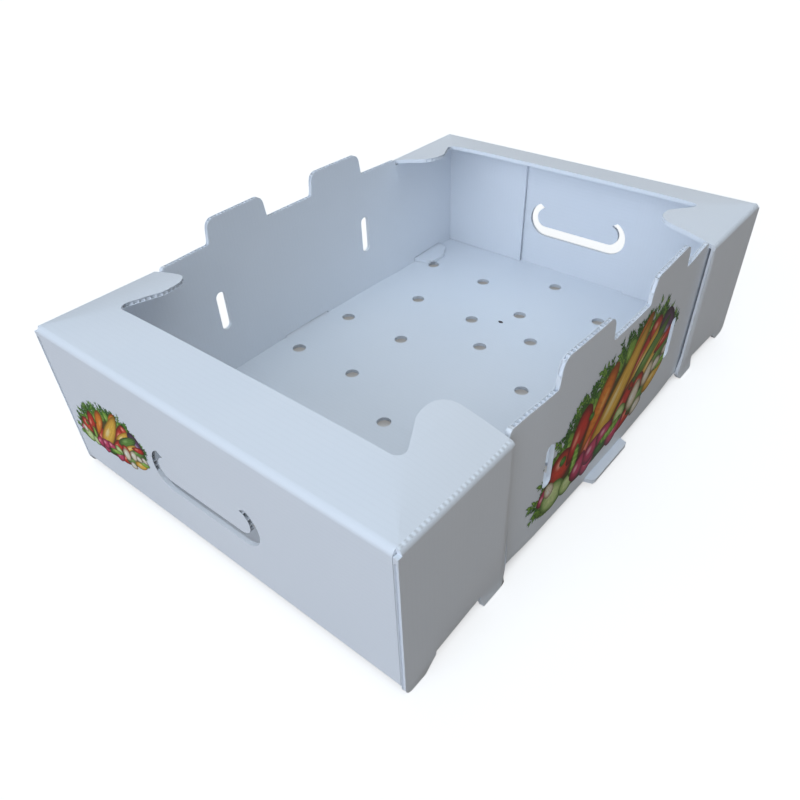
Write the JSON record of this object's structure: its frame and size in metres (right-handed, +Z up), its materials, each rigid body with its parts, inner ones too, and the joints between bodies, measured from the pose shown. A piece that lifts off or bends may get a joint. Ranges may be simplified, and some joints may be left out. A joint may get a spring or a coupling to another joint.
{
  "type": "corrugated plastic crate",
  "caption": "Open stacking crate folded from one sheet of fluted plastic, with end ledges, stacking tabs, handle slots, locking tongues and a vented base.",
  "frame": {"origin": "on the floor, under the middle of the crate's outline", "axes": "+X along the crate's length, +Y across its width, +Z up"},
  "size_m": [0.588, 0.4104, 0.181],
  "materials": {
    "sheet": "smooth white twin-wall polypropylene, semi-gloss"
  },
  "bodies": {
    "root": {"folded_sheet": "sheet"}
  },
  "joints": []
}
